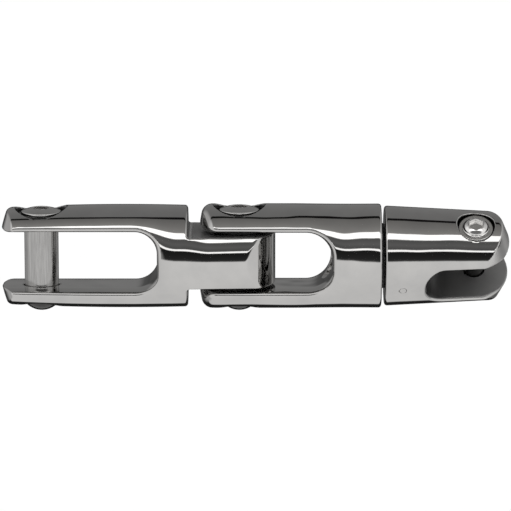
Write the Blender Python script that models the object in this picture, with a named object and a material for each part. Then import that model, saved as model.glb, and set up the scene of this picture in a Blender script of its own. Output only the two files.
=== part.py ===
"""Stainless anchor swivel: an anchor link, a middle link and a swivelling chain jaw.

The swivel axis is X, with the chain jaw at +X. The two clevis pins of the links
are upright, along Z. The origin is the middle of the anchor pin, which is what
the anchor's shank hangs on.
"""

import math

import bmesh
import bpy
from mathutils import Matrix, Vector

MM = 0.001
GAP = 0.1
SIDES = 48
HOLE_SIDES = 32

# Stations along X.
ANCHOR_TIP = -12.2
ANCHOR_PIN_X = 0.0
ANCHOR_SLOT_END = 35.7
ANCHOR_SHOULDER = 45.1
JOINT_X = 60.8
MIDDLE_TIP = 48.5
MIDDLE_SLOT_END = 89.2
MIDDLE_FACE = 104.4
JAW_FACE = 105.3
JAW_SLOT_END = 117.9
CHAIN_PIN_X = 133.1
JAW_TIP = 143.7

# The round bars.
ANCHOR_RADIUS = 15.88
ANCHOR_BOW_X = 25.8
ANCHOR_BOW_RATE = 1390.0
MIDDLE_RADIUS = 16.1
JAW_RADIUS = 15.4
JAW_TAPER = 0.052
FACE_CORNER = 0.8
ANCHOR_TIP_CORNER = 3.0
MIDDLE_TIP_CORNER = 1.4
JAW_TIP_CORNER = 3.6

# The forks of the two links.
FORK_GAP = 17.6
ANCHOR_SLOT_CORNER = 7.0
MIDDLE_SLOT_CORNER = 8.0
ANCHOR_FLAT_DEPTH = 6.6
MIDDLE_FLAT_DEPTH = 7.6
FORK_END_DEPTH = 13.8
# How far out, and how far up, the long edges of the slots are rounded.
ANCHOR_EDGE_REACH = 4.2
ANCHOR_EDGE_RISE = 1.9
MIDDLE_EDGE_REACH = 3.8
MIDDLE_EDGE_RISE = 1.6
# The ends of the forks are arcs in plan, of these radii and half widths.
ANCHOR_TIP_RADIUS = 17.0
ANCHOR_TIP_HALF = 13.2
MIDDLE_TIP_RADIUS = 21.0
MIDDLE_TIP_HALF = 13.8

# The tang of the anchor link: its half depth and half height, and its end in plan.
TANG_THICKNESS = 15.9
TANG_SIDE = 15.5
TANG_CROWN = 14.2
TANG_END_X = 71.9
TANG_END_RADIUS = 18.9
TANG_CORNER_X = 66.8
TANG_TAPER_X = 58.5
TANG_TAPER_SIDE = 15.9
TANG_TAPER = 0.0435

# The chain jaw is turned by this angle about the swivel axis.
JAW_ROLL = 35.0
CHAIN_GAP = 12.2
CHAIN_SLOT_CORNER = 5.9
CHAIN_FLAT_DEPTH = 12.0
CHAIN_END_DEPTH = 13.4
CHAIN_EDGE_REACH = 1.2
CHAIN_EDGE_RISE = 1.0
JAW_TIP_DEPTH = 12.0
JAW_WIDENING = 0.02

# The two big clevis pins, their washers and screws.
PIN_DIAMETER = 10.5
PIN_HOLE = 11.1
PIN_HEAD_RADIUS = 6.8
PIN_HEAD_DIAMETER = 13.0
PIN_HEAD_HOLE = 13.5
PIN_HEAD_SEAT = 12.1
PIN_HEAD_END = 16.95
PIN_BORE = 5.6
WASHER_DIAMETER = 15.4
WASHER_RECESS = 15.9
WASHER_THICKNESS = 1.2
WASHER_HOLE = 6.2
SCREW_DIAMETER = 5.0
SCREW_HEAD = 12.4
SCREW_HEAD_HEIGHT = 1.95
SCREW_SOCKET = 5.0
JOINT_WASHER_TOP = 13.8
ANCHOR_WASHER_TOP = 13.3

# The chain pin, its washer and screw.
CHAIN_PIN_DIAMETER = 7.6
CHAIN_PIN_HOLE = 8.1
CHAIN_NECK_DIAMETER = 6.0
CHAIN_NECK_HOLE = 6.5
CHAIN_NECK_TOP = 3.5
CHAIN_HEAD_RADIUS = 5.2
CHAIN_HEAD_DIAMETER = 9.8
CHAIN_HEAD_HOLE = 10.3
CHAIN_HEAD_SEAT = 10.6
CHAIN_HEAD_END = 14.6
CHAIN_PIN_BORE = 4.2
CHAIN_WASHER_DIAMETER = 10.6
CHAIN_WASHER_RECESS = 11.5
CHAIN_WASHER_TOP = 12.3
CHAIN_WASHER_HOLE = 4.6
CHAIN_SCREW_DIAMETER = 3.7
CHAIN_SCREW_HEAD = 7.3
CHAIN_SCREW_HEAD_HEIGHT = 1.9
CHAIN_SCREW_SOCKET = 4.0

# The swivel stud between the middle link and the jaw.
STUD_DIAMETER = 10.0
STUD_HEAD = 13.4
STUD_HEAD_THICKNESS = 3.6
STUD_RECESS = 14.0
STUD_RECESS_DEPTH = 5.2
STUD_WASHER_THICKNESS = 1.0
BUSH_OUTER = 12.2
BUSH_INNER = 10.4
BUSH_HOLE = 12.5
STUD_END = 115.6
STUD_BORE = 10.4
STUD_BORE_END = 116.0
FACE_WASHER_DIAMETER = 20.0
FACE_WASHER_THICKNESS = 0.7
LOCK_PIN_X = 110.8
LOCK_PIN_DIAMETER = 2.0
LOCK_PIN_HOLE = 2.2
LOCK_PIN_INNER_END = -8.0
LOCK_PIN_OUTER_END = 15.0

# The bearing pieces of the clevis joint.
TANG_HOLE = 13.4
TANG_BUSH_OUTER = 13.1
TANG_BUSH_INNER = 10.9
TANG_BUSH_LENGTH = 15.7
SIDE_WASHER_DIAMETER = 16.0
SIDE_WASHER_HOLE = 11.0
SIDE_WASHER_THICKNESS = 0.6

for old in list(bpy.data.objects):
    bpy.data.objects.remove(old, do_unlink=True)

scene_root = bpy.context.scene.collection
parts = bpy.data.collections.new("anchor_swivel")
cutters = bpy.data.collections.new("cutters")
scene_root.children.link(parts)
scene_root.children.link(cutters)
cutters.hide_render = True

UPRIGHT = Matrix.Identity(4)
ROLLED = Matrix.Rotation(math.radians(JAW_ROLL), 4, "X")


def material(name, colour, metallic, roughness):
    made = bpy.data.materials.new(name)
    made.use_nodes = True
    shader = made.node_tree.nodes["Principled BSDF"]
    shader.inputs["Base Color"].default_value = (*colour, 1.0)
    shader.inputs["Metallic"].default_value = metallic
    shader.inputs["Roughness"].default_value = roughness
    return made


def mesh_object(name, rings, close_start, close_end, smooth):
    """One closed skin over rings of points that all have the same count."""
    mesh = bpy.data.meshes.new(name)
    work = bmesh.new()
    made = [[work.verts.new(Vector(p) * MM) for p in ring] for ring in rings]
    count = len(rings[0])
    for near, far in zip(made, made[1:]):
        for i in range(count):
            j = (i + 1) % count
            work.faces.new((near[i], near[j], far[j], far[i]))
    if close_start:
        work.faces.new(made[0])
    if close_end:
        work.faces.new(list(reversed(made[-1])))
    bmesh.ops.recalc_face_normals(work, faces=work.faces)
    if smooth:
        for face in work.faces:
            face.smooth = len(face.verts) == 4
    work.to_mesh(mesh)
    work.free()
    return bpy.data.objects.new(name, mesh)


def placed(obj, pivot, matrix):
    """Puts the object's origin on the pivot, and then moves all of it by the matrix."""
    obj.data.transform(Matrix.Translation(Vector(pivot) * -MM))
    spot = Matrix.Translation(Vector(pivot) * MM)
    turn = matrix.to_3x3().to_4x4()
    shift = Matrix.Translation(matrix.to_translation() * MM)
    obj.data.transform(turn)
    obj.location = (shift @ turn @ spot).to_translation()
    return obj


def part(obj, pivot, matrix, look):
    placed(obj, pivot, matrix)
    obj.data.materials.append(look)
    parts.objects.link(obj)
    return obj


def cutter(obj, matrix):
    placed(obj, (0.0, 0.0, 0.0), matrix)
    obj.hide_render = True
    obj.display_type = "WIRE"
    cutters.objects.link(obj)
    return obj


def boolean(target, other, operation):
    step = target.modifiers.new(other.name, "BOOLEAN")
    step.operation = operation
    step.solver = "EXACT"
    step.object = other


def cut(target, other, matrix):
    boolean(target, cutter(other, matrix), "DIFFERENCE")


def keep(target, other, matrix):
    boolean(target, cutter(other, matrix), "INTERSECT")


def circle(radius, sides):
    step = 2.0 * math.pi / sides
    return [(radius * math.cos(i * step), radius * math.sin(i * step)) for i in range(sides)]


def turned_x(name, profile, sides):
    """Profile points are (x, radius), from one end face to the other."""
    rings = []
    for x, radius in profile:
        rings.append([(x, a, b) for a, b in circle(radius, sides)])
    return mesh_object(name, rings, True, True, True)


def oval_x(name, sections, sides):
    """Section points are (x, half depth, half height)."""
    rings = []
    for x, depth, height in sections:
        rings.append([(x, a * depth, b * height) for a, b in circle(1.0, sides)])
    return mesh_object(name, rings, True, True, True)


def turned_z(name, profile, centre_x, sides):
    """Profile points are (z, radius), from one end face to the other."""
    rings = []
    for z, radius in profile:
        rings.append([(centre_x + a, b, z) for a, b in circle(radius, sides)])
    return mesh_object(name, rings, True, True, True)


def ring_z(name, inner, outer, low, high, centre_x, sides):
    """A flat ring or a sleeve along Z."""
    rings = []
    for z, radius in ((low, inner), (low, outer), (high, outer), (high, inner), (low, inner)):
        rings.append([(centre_x + a, b, z) for a, b in circle(radius, sides)])
    return closed_loop(name, rings)


def ring_x(name, inner, outer, low, high, sides):
    """A flat ring or a sleeve along X."""
    rings = []
    for x, radius in ((low, inner), (low, outer), (high, outer), (high, inner), (low, inner)):
        rings.append([(x, a, b) for a, b in circle(radius, sides)])
    return closed_loop(name, rings)


def closed_loop(name, rings):
    obj = mesh_object(name, rings, False, False, False)
    work = bmesh.new()
    work.from_mesh(obj.data)
    bmesh.ops.remove_doubles(work, verts=work.verts, dist=1e-7)
    bmesh.ops.recalc_face_normals(work, faces=work.faces)
    work.to_mesh(obj.data)
    work.free()
    return obj


def cylinder_y(name, radius, low, high, centre_x, sides):
    rings = []
    for y in (low, high):
        rings.append([(centre_x + a, y, b) for a, b in circle(radius, sides)])
    return mesh_object(name, rings, True, True, False)


def box(name, x, y, z):
    rings = []
    for height in z:
        corners = ((x[0], y[0]), (x[1], y[0]), (x[1], y[1]), (x[0], y[1]))
        rings.append([(across, deep, height) for across, deep in corners])
    return mesh_object(name, rings, True, True, False)


def prism_z(name, outline, low, high):
    rings = [[(x, y, z) for x, y in outline] for z in (low, high)]
    return mesh_object(name, rings, True, True, False)


def rounded_profile(profile, corner, at_start):
    """Replaces the sharp corner at one end of a profile of (position, radius) with an arc."""
    position, radius = profile[0] if at_start else profile[-1]
    inward = 1.0 if at_start else -1.0
    arc = []
    for i in range(5):
        angle = math.radians(22.5 * i)
        along = position + inward * corner * (1.0 - math.sin(angle))
        across = radius - corner * (1.0 - math.cos(angle))
        arc.append((along, across))
    if at_start:
        return list(reversed(arc)) + profile[1:]
    return profile[:-1] + arc


def slot_outline(open_x, end_x, half, corner, grow):
    """Outline in x and z of a slot that is open at one end. It grows by the same amount all round."""
    inward = 1.0 if end_x > open_x else -1.0
    half = half + grow
    corner = corner + grow
    end_x = end_x + inward * grow
    centre = end_x - inward * corner
    points = [(open_x, -half)]
    for i in range(7):
        angle = math.radians(-90.0 + 15.0 * i)
        along = centre + inward * corner * math.cos(angle)
        points.append((along, -half + corner + corner * math.sin(angle)))
    for i in range(7):
        angle = math.radians(15.0 * i)
        along = centre + inward * corner * math.cos(angle)
        points.append((along, half - corner + corner * math.sin(angle)))
    points.append((open_x, half))
    return points


def slot_cutter(name, open_x, end_x, half, corner, flat_depth, end_depth, reach, edge):
    """A slot through Y whose long edges are rounded where they meet the round bar.

    The flat part is flat_depth to each side at the full half height and end_depth on the axis.
    """
    plain = slot_outline(open_x, end_x, half, corner, 0.0)
    starts = [end_depth - (end_depth - flat_depth) * (z / half) ** 2 for x, z in plain]
    stations = [(reach * i / 4.0, edge * (i / 4.0) ** 2) for i in range(5)]
    stations.append((reach * 1.5, edge * 2.0))
    sides = []
    for out, grow in stations:
        outline = slot_outline(open_x, end_x, half, corner, grow)
        sides.append([(x, start + out, z) for start, (x, z) in zip(starts, outline)])
    outline = slot_outline(open_x, end_x, half, corner, edge * 2.1)
    sides.append([(x, 24.0, z) for x, z in outline])
    rings = [[(x, -y, z) for x, y, z in ring] for ring in reversed(sides)]
    return mesh_object(name, rings + sides, True, True, False)


def anchor_bar_radius(x):
    return ANCHOR_RADIUS - (x - ANCHOR_BOW_X) ** 2 / ANCHOR_BOW_RATE


def eased(value, start, end):
    share = min(max((value - start) / (end - start), 0.0), 1.0)
    return share * share * (3.0 - 2.0 * share)


def tip_arc(tip_x, radius, half, toward):
    """An arc in x and y round the tip, from +half to -half. No point of it lies on the axis."""
    points = []
    for i in range(14):
        y = half * (1.0 - i / 6.5)
        drop = radius - math.sqrt(radius * radius - y * y)
        points.append((tip_x - toward * drop, y))
    return points


def half_turn(centre_x, reach, depth, toward):
    """Half an ellipse in x and y, from +y round the tip to -y."""
    points = []
    for i in range(19):
        angle = math.radians(90.0 - 10.0 * i)
        points.append((centre_x + toward * reach * math.cos(angle), depth * math.sin(angle)))
    return points


def dome_pin(name, centre_x, shank, top, bore, bore_end, head, head_radius, seat, end, neck, neck_top):
    """A pin with a domed head below, a narrower neck above it and a blind bore from the top for a screw."""
    centre = -end + head_radius
    edge = math.asin(head / 2.0 / head_radius)
    profile = [(-end, 0.05)]
    for i in range(1, 6):
        angle = edge * i / 5.0
        profile.append((centre - head_radius * math.cos(angle), head_radius * math.sin(angle)))
    profile.append((-seat, head / 2.0))
    profile.append((-seat, neck / 2.0))
    if neck < shank:
        profile.append((neck_top, neck / 2.0))
        profile.append((neck_top, shank / 2.0))
    profile.append((top - 0.4, shank / 2.0))
    profile.append((top, shank / 2.0 - 0.4))
    profile.append((top, bore / 2.0))
    profile.append((bore_end, bore / 2.0))
    return turned_z(name, profile, centre_x, HOLE_SIDES)


def socket_screw(name, centre_x, head, low, height, shank, shank_end):
    """A button head on a plain shank that stands for the thread."""
    profile = [(shank_end, shank / 2.0 - 0.5), (shank_end + 0.5, shank / 2.0)]
    profile.append((low, shank / 2.0))
    profile.append((low, head / 2.0))
    rim = 0.35 * height
    crown = (height - rim) / math.sin(math.radians(66.0))
    profile.append((low + rim, head / 2.0))
    for i in range(1, 4):
        angle = math.radians(22.0 * i)
        radius = head / 2.0 * (0.45 + 0.55 * math.cos(angle))
        profile.append((low + rim + crown * math.sin(angle), radius))
    return turned_z(name, profile, centre_x, HOLE_SIDES)


def socket_cutter(name, centre_x, across, top, depth):
    radius = across / math.sqrt(3.0)
    rings = [[(centre_x + a, b, z) for a, b in circle(radius, 6)] for z in (top - depth, top + 2.0)]
    return mesh_object(name, rings, True, True, False)


STEEL = material("mirror_steel", (0.60, 0.60, 0.59), 1.0, 0.06)
PIN_STEEL = material("satin_steel", (0.55, 0.55, 0.54), 1.0, 0.30)
SCREW_STEEL = material("screw_steel", (0.62, 0.62, 0.61), 1.0, 0.15)
BRONZE = material("bearing_bronze", (0.55, 0.36, 0.16), 1.0, 0.35)
POLYMER = material("dark_polymer", (0.04, 0.04, 0.045), 0.0, 0.55)

HALF_FORK = FORK_GAP / 2.0
HALF_TANG = TANG_THICKNESS / 2.0

# Anchor link: a round bar with a fork at -X and a flat tang at +X.
sections = rounded_profile([(ANCHOR_TIP, 15.0)], ANCHOR_TIP_CORNER, True)
sections = [(x, r, r) for x, r in sections]
for x in (-4.2, 1.8, 9.8, 17.8, 25.8, 33.8, 40.8, 45.0):
    sections.append((x, anchor_bar_radius(x), anchor_bar_radius(x)))
for x in (47.0, 49.0, 51.0, 53.0):
    crown = TANG_CROWN + (anchor_bar_radius(x) - TANG_CROWN) * (1.0 - eased(x, 43.0, 53.0))
    sections.append((x, TANG_SIDE, crown))
sections.append((TANG_END_X + 1.0, TANG_SIDE, TANG_CROWN))
anchor_link = oval_x("anchor_link", sections, SIDES)
part(anchor_link, (JOINT_X, 0.0, 0.0), UPRIGHT, STEEL)
tip = tip_arc(ANCHOR_TIP, ANCHOR_TIP_RADIUS, ANCHOR_TIP_HALF, -1.0)
taper = []
for i in range(8):
    x = TANG_TAPER_X + (TANG_CORNER_X - TANG_TAPER_X) * i / 7.0
    taper.append((x, TANG_TAPER_SIDE - TANG_TAPER * (x - TANG_TAPER_X) ** 2))
end = tip_arc(TANG_END_X, TANG_END_RADIUS, taper[-1][1], 1.0)
plan = [(ANCHOR_TIP + 10.0, 20.0)] + tip + [(ANCHOR_TIP + 10.0, -20.0), (TANG_TAPER_X, -20.0)]
plan += [(x, -y) for x, y in taper[:-1]] + list(reversed(end))
plan += list(reversed(taper[:-1])) + [(TANG_TAPER_X, 20.0)]
keep(anchor_link, prism_z("cut_anchor_plan", plan, -25.0, 25.0), UPRIGHT)
fork = slot_cutter(
    "cut_anchor_fork",
    -30.0,
    ANCHOR_SLOT_END,
    HALF_FORK,
    ANCHOR_SLOT_CORNER,
    ANCHOR_FLAT_DEPTH,
    FORK_END_DEPTH,
    ANCHOR_EDGE_REACH,
    ANCHOR_EDGE_RISE,
)
cut(anchor_link, fork, UPRIGHT)
beyond = (ANCHOR_SHOULDER, 85.0)
cut(anchor_link, box("cut_tang_above", beyond, (-20.0, 20.0), (HALF_TANG, 25.0)), UPRIGHT)
cut(anchor_link, box("cut_tang_below", beyond, (-20.0, 20.0), (-25.0, -HALF_TANG)), UPRIGHT)
hole = turned_z("cut_tang_hole", [(-12.0, TANG_HOLE / 2.0), (12.0, TANG_HOLE / 2.0)], JOINT_X, HOLE_SIDES)
cut(anchor_link, hole, UPRIGHT)


def pin_hole(name, centre_x, washer_top):
    """The stepped hole for a clevis pin: head recess below, washer recess above."""
    floor = washer_top - WASHER_THICKNESS - 0.1
    profile = [
        (-25.0, PIN_HEAD_HOLE / 2.0),
        (-PIN_HEAD_SEAT + GAP, PIN_HEAD_HOLE / 2.0),
        (-PIN_HEAD_SEAT + GAP, PIN_HOLE / 2.0),
        (floor, PIN_HOLE / 2.0),
        (floor, WASHER_RECESS / 2.0),
        (25.0, WASHER_RECESS / 2.0),
    ]
    return turned_z(name, profile, centre_x, HOLE_SIDES)


cut(anchor_link, pin_hole("cut_anchor_pin_hole", ANCHOR_PIN_X, ANCHOR_WASHER_TOP), UPRIGHT)

# Middle link: a round bar with a fork at -X and the swivel bore at +X.
profile = [
    (MIDDLE_TIP, MIDDLE_RADIUS - 0.3),
    (MIDDLE_TIP + 5.0, MIDDLE_RADIUS),
    (MIDDLE_FACE - 28.0, MIDDLE_RADIUS),
    (MIDDLE_FACE - 11.0, MIDDLE_RADIUS - 0.15),
    (MIDDLE_FACE, MIDDLE_RADIUS - 0.1),
]
profile = rounded_profile(profile, MIDDLE_TIP_CORNER, True)
profile = rounded_profile(profile, FACE_CORNER, False)
middle_link = turned_x("middle_link", profile, SIDES)
part(middle_link, (0.0, 0.0, 0.0), UPRIGHT, STEEL)
tip = tip_arc(MIDDLE_TIP, MIDDLE_TIP_RADIUS, MIDDLE_TIP_HALF, -1.0)
plan = [(JOINT_X, 20.0)] + tip + [(JOINT_X, -20.0), (130.0, -20.0), (130.0, 20.0)]
keep(middle_link, prism_z("cut_middle_plan", plan, -25.0, 25.0), UPRIGHT)
fork = slot_cutter(
    "cut_middle_fork",
    30.0,
    MIDDLE_SLOT_END,
    HALF_FORK,
    MIDDLE_SLOT_CORNER,
    MIDDLE_FLAT_DEPTH,
    FORK_END_DEPTH,
    MIDDLE_EDGE_REACH,
    MIDDLE_EDGE_RISE,
)
cut(middle_link, fork, UPRIGHT)
cut(middle_link, pin_hole("cut_joint_pin_hole", JOINT_X, JOINT_WASHER_TOP), UPRIGHT)
recess_end = MIDDLE_SLOT_END + STUD_RECESS_DEPTH
profile = [
    (MIDDLE_SLOT_END - 6.0, STUD_RECESS / 2.0),
    (recess_end, STUD_RECESS / 2.0),
    (recess_end, BUSH_HOLE / 2.0),
    (MIDDLE_FACE + 5.0, BUSH_HOLE / 2.0),
]
cut(middle_link, turned_x("cut_stud_recess", profile, HOLE_SIDES), UPRIGHT)

# Chain jaw: a tapered round bar with a narrow slot, turned about the swivel axis.
jaw_end_radius = JAW_RADIUS - JAW_TAPER * (JAW_TIP - JAW_FACE)
profile = [(JAW_FACE, JAW_RADIUS), (JAW_TIP, jaw_end_radius)]
profile = rounded_profile(profile, FACE_CORNER, True)
profile = rounded_profile(profile, JAW_TIP_CORNER, False)
chain_jaw = turned_x("chain_jaw", profile, SIDES)
part(chain_jaw, (JAW_FACE, 0.0, 0.0), ROLLED, STEEL)
tip = half_turn(CHAIN_PIN_X, JAW_TIP - CHAIN_PIN_X, JAW_TIP_DEPTH, 1.0)
flank = []
for back in (3.0, 6.0, 9.0, 12.0, 15.0):
    flank.append((CHAIN_PIN_X - back, JAW_TIP_DEPTH + JAW_WIDENING * back * back))
plan = list(reversed(flank)) + tip + [(x, -y) for x, y in flank]
plan += [(CHAIN_PIN_X - 15.0, -20.0), (95.0, -20.0), (95.0, 20.0), (CHAIN_PIN_X - 15.0, 20.0)]
keep(chain_jaw, prism_z("cut_jaw_plan", plan, -25.0, 25.0), ROLLED)
half_chain = CHAIN_GAP / 2.0
slot = slot_cutter(
    "cut_chain_slot",
    160.0,
    JAW_SLOT_END,
    half_chain,
    CHAIN_SLOT_CORNER,
    CHAIN_FLAT_DEPTH,
    CHAIN_END_DEPTH,
    CHAIN_EDGE_REACH,
    CHAIN_EDGE_RISE,
)
cut(chain_jaw, slot, ROLLED)
floor = CHAIN_WASHER_TOP - WASHER_THICKNESS - 0.1
profile = [
    (-25.0, CHAIN_HEAD_HOLE / 2.0),
    (-CHAIN_HEAD_SEAT + GAP, CHAIN_HEAD_HOLE / 2.0),
    (-CHAIN_HEAD_SEAT + GAP, CHAIN_NECK_HOLE / 2.0),
    (0.0, CHAIN_NECK_HOLE / 2.0),
    (0.0, CHAIN_PIN_HOLE / 2.0),
    (floor, CHAIN_PIN_HOLE / 2.0),
    (floor, CHAIN_WASHER_RECESS / 2.0),
    (25.0, CHAIN_WASHER_RECESS / 2.0),
]
cut(chain_jaw, turned_z("cut_chain_pin_hole", profile, CHAIN_PIN_X, HOLE_SIDES), ROLLED)
profile = [(JAW_FACE - 5.0, STUD_BORE / 2.0), (STUD_BORE_END, STUD_BORE / 2.0)]
cut(chain_jaw, turned_x("cut_stud_bore", profile, HOLE_SIDES), ROLLED)
hole = cylinder_y("cut_lock_hole", LOCK_PIN_HOLE / 2.0, -25.0, -LOCK_PIN_INNER_END + 0.2, LOCK_PIN_X, 24)
cut(chain_jaw, hole, ROLLED)


def clevis_pin_set(prefix, centre_x, washer_top):
    """Pin, washer and screw of one of the two big clevis holes."""
    pivot = (centre_x, 0.0, 0.0)
    pin_top = washer_top - WASHER_THICKNESS - 0.2
    pin = dome_pin(
        prefix + "_pin",
        centre_x,
        PIN_DIAMETER,
        pin_top,
        PIN_BORE,
        0.0,
        PIN_HEAD_DIAMETER,
        PIN_HEAD_RADIUS,
        PIN_HEAD_SEAT,
        PIN_HEAD_END,
        PIN_DIAMETER,
        0.0,
    )
    part(pin, pivot, UPRIGHT, PIN_STEEL)
    low = washer_top - WASHER_THICKNESS
    inner = WASHER_HOLE / 2.0
    outer = WASHER_DIAMETER / 2.0
    washer = ring_z(prefix + "_pin_washer", inner, outer, low, washer_top, centre_x, HOLE_SIDES)
    part(washer, pivot, UPRIGHT, SCREW_STEEL)
    head_low = washer_top + 0.05
    screw = socket_screw(
        prefix + "_pin_screw", centre_x, SCREW_HEAD, head_low, SCREW_HEAD_HEIGHT, SCREW_DIAMETER, 1.5
    )
    part(screw, pivot, UPRIGHT, SCREW_STEEL)
    top = head_low + SCREW_HEAD_HEIGHT
    cut(screw, socket_cutter("cut_" + prefix + "_socket", centre_x, SCREW_SOCKET, top, 1.7), UPRIGHT)


clevis_pin_set("anchor", ANCHOR_PIN_X, ANCHOR_WASHER_TOP)
clevis_pin_set("joint", JOINT_X, JOINT_WASHER_TOP)

# Chain pin, washer and screw, in the turned jaw.
chain_pivot = (CHAIN_PIN_X, 0.0, 0.0)
pin = dome_pin(
    "chain_pin",
    CHAIN_PIN_X,
    CHAIN_PIN_DIAMETER,
    CHAIN_WASHER_TOP - WASHER_THICKNESS - 0.2,
    CHAIN_PIN_BORE,
    CHAIN_NECK_TOP + 0.5,
    CHAIN_HEAD_DIAMETER,
    CHAIN_HEAD_RADIUS,
    CHAIN_HEAD_SEAT,
    CHAIN_HEAD_END,
    CHAIN_NECK_DIAMETER,
    CHAIN_NECK_TOP,
)
part(pin, chain_pivot, ROLLED, PIN_STEEL)
washer = ring_z(
    "chain_pin_washer",
    CHAIN_WASHER_HOLE / 2.0,
    CHAIN_WASHER_DIAMETER / 2.0,
    CHAIN_WASHER_TOP - WASHER_THICKNESS,
    CHAIN_WASHER_TOP,
    CHAIN_PIN_X,
    HOLE_SIDES,
)
part(washer, chain_pivot, ROLLED, SCREW_STEEL)
head_low = CHAIN_WASHER_TOP + 0.05
screw = socket_screw(
    "chain_pin_screw",
    CHAIN_PIN_X,
    CHAIN_SCREW_HEAD,
    head_low,
    CHAIN_SCREW_HEAD_HEIGHT,
    CHAIN_SCREW_DIAMETER,
    CHAIN_NECK_TOP + 1.0,
)
part(screw, chain_pivot, ROLLED, SCREW_STEEL)
top = head_low + CHAIN_SCREW_HEAD_HEIGHT
cut(screw, socket_cutter("cut_chain_socket", CHAIN_PIN_X, CHAIN_SCREW_SOCKET, top, 1.4), ROLLED)

# Swivel stud: its head lies in the end wall of the middle fork, its shank is pinned in the jaw.
head_end = recess_end - GAP - STUD_WASHER_THICKNESS - GAP
head_start = head_end - STUD_HEAD_THICKNESS
profile = [
    (head_start, STUD_HEAD / 2.0 - 0.8),
    (head_start + 0.8, STUD_HEAD / 2.0),
    (head_end, STUD_HEAD / 2.0),
    (head_end, STUD_DIAMETER / 2.0),
    (STUD_END - 0.5, STUD_DIAMETER / 2.0),
    (STUD_END, STUD_DIAMETER / 2.0 - 0.5),
]
stud = turned_x("swivel_stud", profile, HOLE_SIDES)
part(stud, (JAW_FACE, 0.0, 0.0), ROLLED, PIN_STEEL)
hole = cylinder_y("cut_stud_lock_hole", LOCK_PIN_HOLE / 2.0, -12.0, 12.0, LOCK_PIN_X, 24)
cut(stud, hole, ROLLED)
low = recess_end - GAP - STUD_WASHER_THICKNESS
washer = ring_x("stud_head_washer", BUSH_INNER / 2.0, STUD_HEAD / 2.0, low, recess_end - GAP, HOLE_SIDES)
part(washer, (JAW_FACE, 0.0, 0.0), UPRIGHT, BRONZE)
low = recess_end + 0.05
high = MIDDLE_FACE - 0.05
bush = ring_x("stud_bush", BUSH_INNER / 2.0, BUSH_OUTER / 2.0, low, high, HOLE_SIDES)
part(bush, (JAW_FACE, 0.0, 0.0), UPRIGHT, BRONZE)
low = (MIDDLE_FACE + JAW_FACE - FACE_WASHER_THICKNESS) / 2.0
high = low + FACE_WASHER_THICKNESS
washer = ring_x("swivel_face_washer", BUSH_INNER / 2.0, FACE_WASHER_DIAMETER / 2.0, low, high, HOLE_SIDES)
part(washer, (JAW_FACE, 0.0, 0.0), UPRIGHT, POLYMER)
radius = LOCK_PIN_DIAMETER / 2.0
lock_pin = cylinder_y("stud_lock_pin", radius, -LOCK_PIN_OUTER_END, -LOCK_PIN_INNER_END, LOCK_PIN_X, 24)
part(lock_pin, (JAW_FACE, 0.0, 0.0), ROLLED, PIN_STEEL)

# Bearing pieces of the clevis joint, hidden in and beside the tang.
half = TANG_BUSH_LENGTH / 2.0
bush = ring_z("tang_bush", TANG_BUSH_INNER / 2.0, TANG_BUSH_OUTER / 2.0, -half, half, JOINT_X, HOLE_SIDES)
part(bush, (JOINT_X, 0.0, 0.0), UPRIGHT, BRONZE)
middle = (HALF_TANG + HALF_FORK) / 2.0
half = SIDE_WASHER_THICKNESS / 2.0
for name, height in (("joint_washer_upper", middle), ("joint_washer_lower", -middle)):
    washer = ring_z(
        name,
        SIDE_WASHER_HOLE / 2.0,
        SIDE_WASHER_DIAMETER / 2.0,
        height - half,
        height + half,
        JOINT_X,
        HOLE_SIDES,
    )
    part(washer, (JOINT_X, 0.0, 0.0), UPRIGHT, POLYMER)
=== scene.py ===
import math

import bpy
import numpy as np
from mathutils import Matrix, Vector

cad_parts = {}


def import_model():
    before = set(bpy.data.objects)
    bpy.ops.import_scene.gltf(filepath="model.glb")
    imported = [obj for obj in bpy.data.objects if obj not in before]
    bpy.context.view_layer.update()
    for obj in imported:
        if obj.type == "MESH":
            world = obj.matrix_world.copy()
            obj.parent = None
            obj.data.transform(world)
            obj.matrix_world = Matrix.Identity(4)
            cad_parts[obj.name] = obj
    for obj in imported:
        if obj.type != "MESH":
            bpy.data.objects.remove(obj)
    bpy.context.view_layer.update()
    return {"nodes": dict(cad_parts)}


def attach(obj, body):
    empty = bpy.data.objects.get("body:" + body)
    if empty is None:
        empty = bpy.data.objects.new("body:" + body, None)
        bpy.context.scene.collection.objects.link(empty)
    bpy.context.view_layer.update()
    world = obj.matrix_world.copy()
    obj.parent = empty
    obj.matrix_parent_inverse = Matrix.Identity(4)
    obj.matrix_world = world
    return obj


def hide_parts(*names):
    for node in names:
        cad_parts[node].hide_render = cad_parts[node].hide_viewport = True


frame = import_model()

# Lengths are in mm in the CAD model's own axes. X runs from the anchor's end to the chain's
# end, and the two big pins stand along Z. The jaw and what it carries are shaped with the
# chain pin along Z, and are then rolled about X.

MM = 0.001
TINY = 1e-9
JAW_ROLL = math.radians(35.0)

ANCHOR_PIN_X = 0.0
JOINT_PIN_X = 60.8
CHAIN_PIN_X = 133.1
LOCK_PIN_X = 110.8

# Anchor link
ANCHOR_RADIUS = 15.88
ANCHOR_WIDEST_X = 25.8
ANCHOR_SWELL = 1390.0
ANCHOR_TIP_X = -12.2
ANCHOR_TUCK = 8.3
ANCHOR_TUCK_FROM, ANCHOR_TUCK_TO = 27.0, 42.0
ANCHOR_SLOT_END = 35.7
SHOULDER_X = 45.1
TANG_HALF = 7.95
TANG_OVAL = 14.2
TANG_SIDE = 15.9
TANG_TAPER_FROM = 58.5
TANG_TAPER = 0.0482
TANG_END_CENTRE = 53.9
TANG_END_RADIUS = 18.0
TANG_BORE_RADIUS = 6.7

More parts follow.
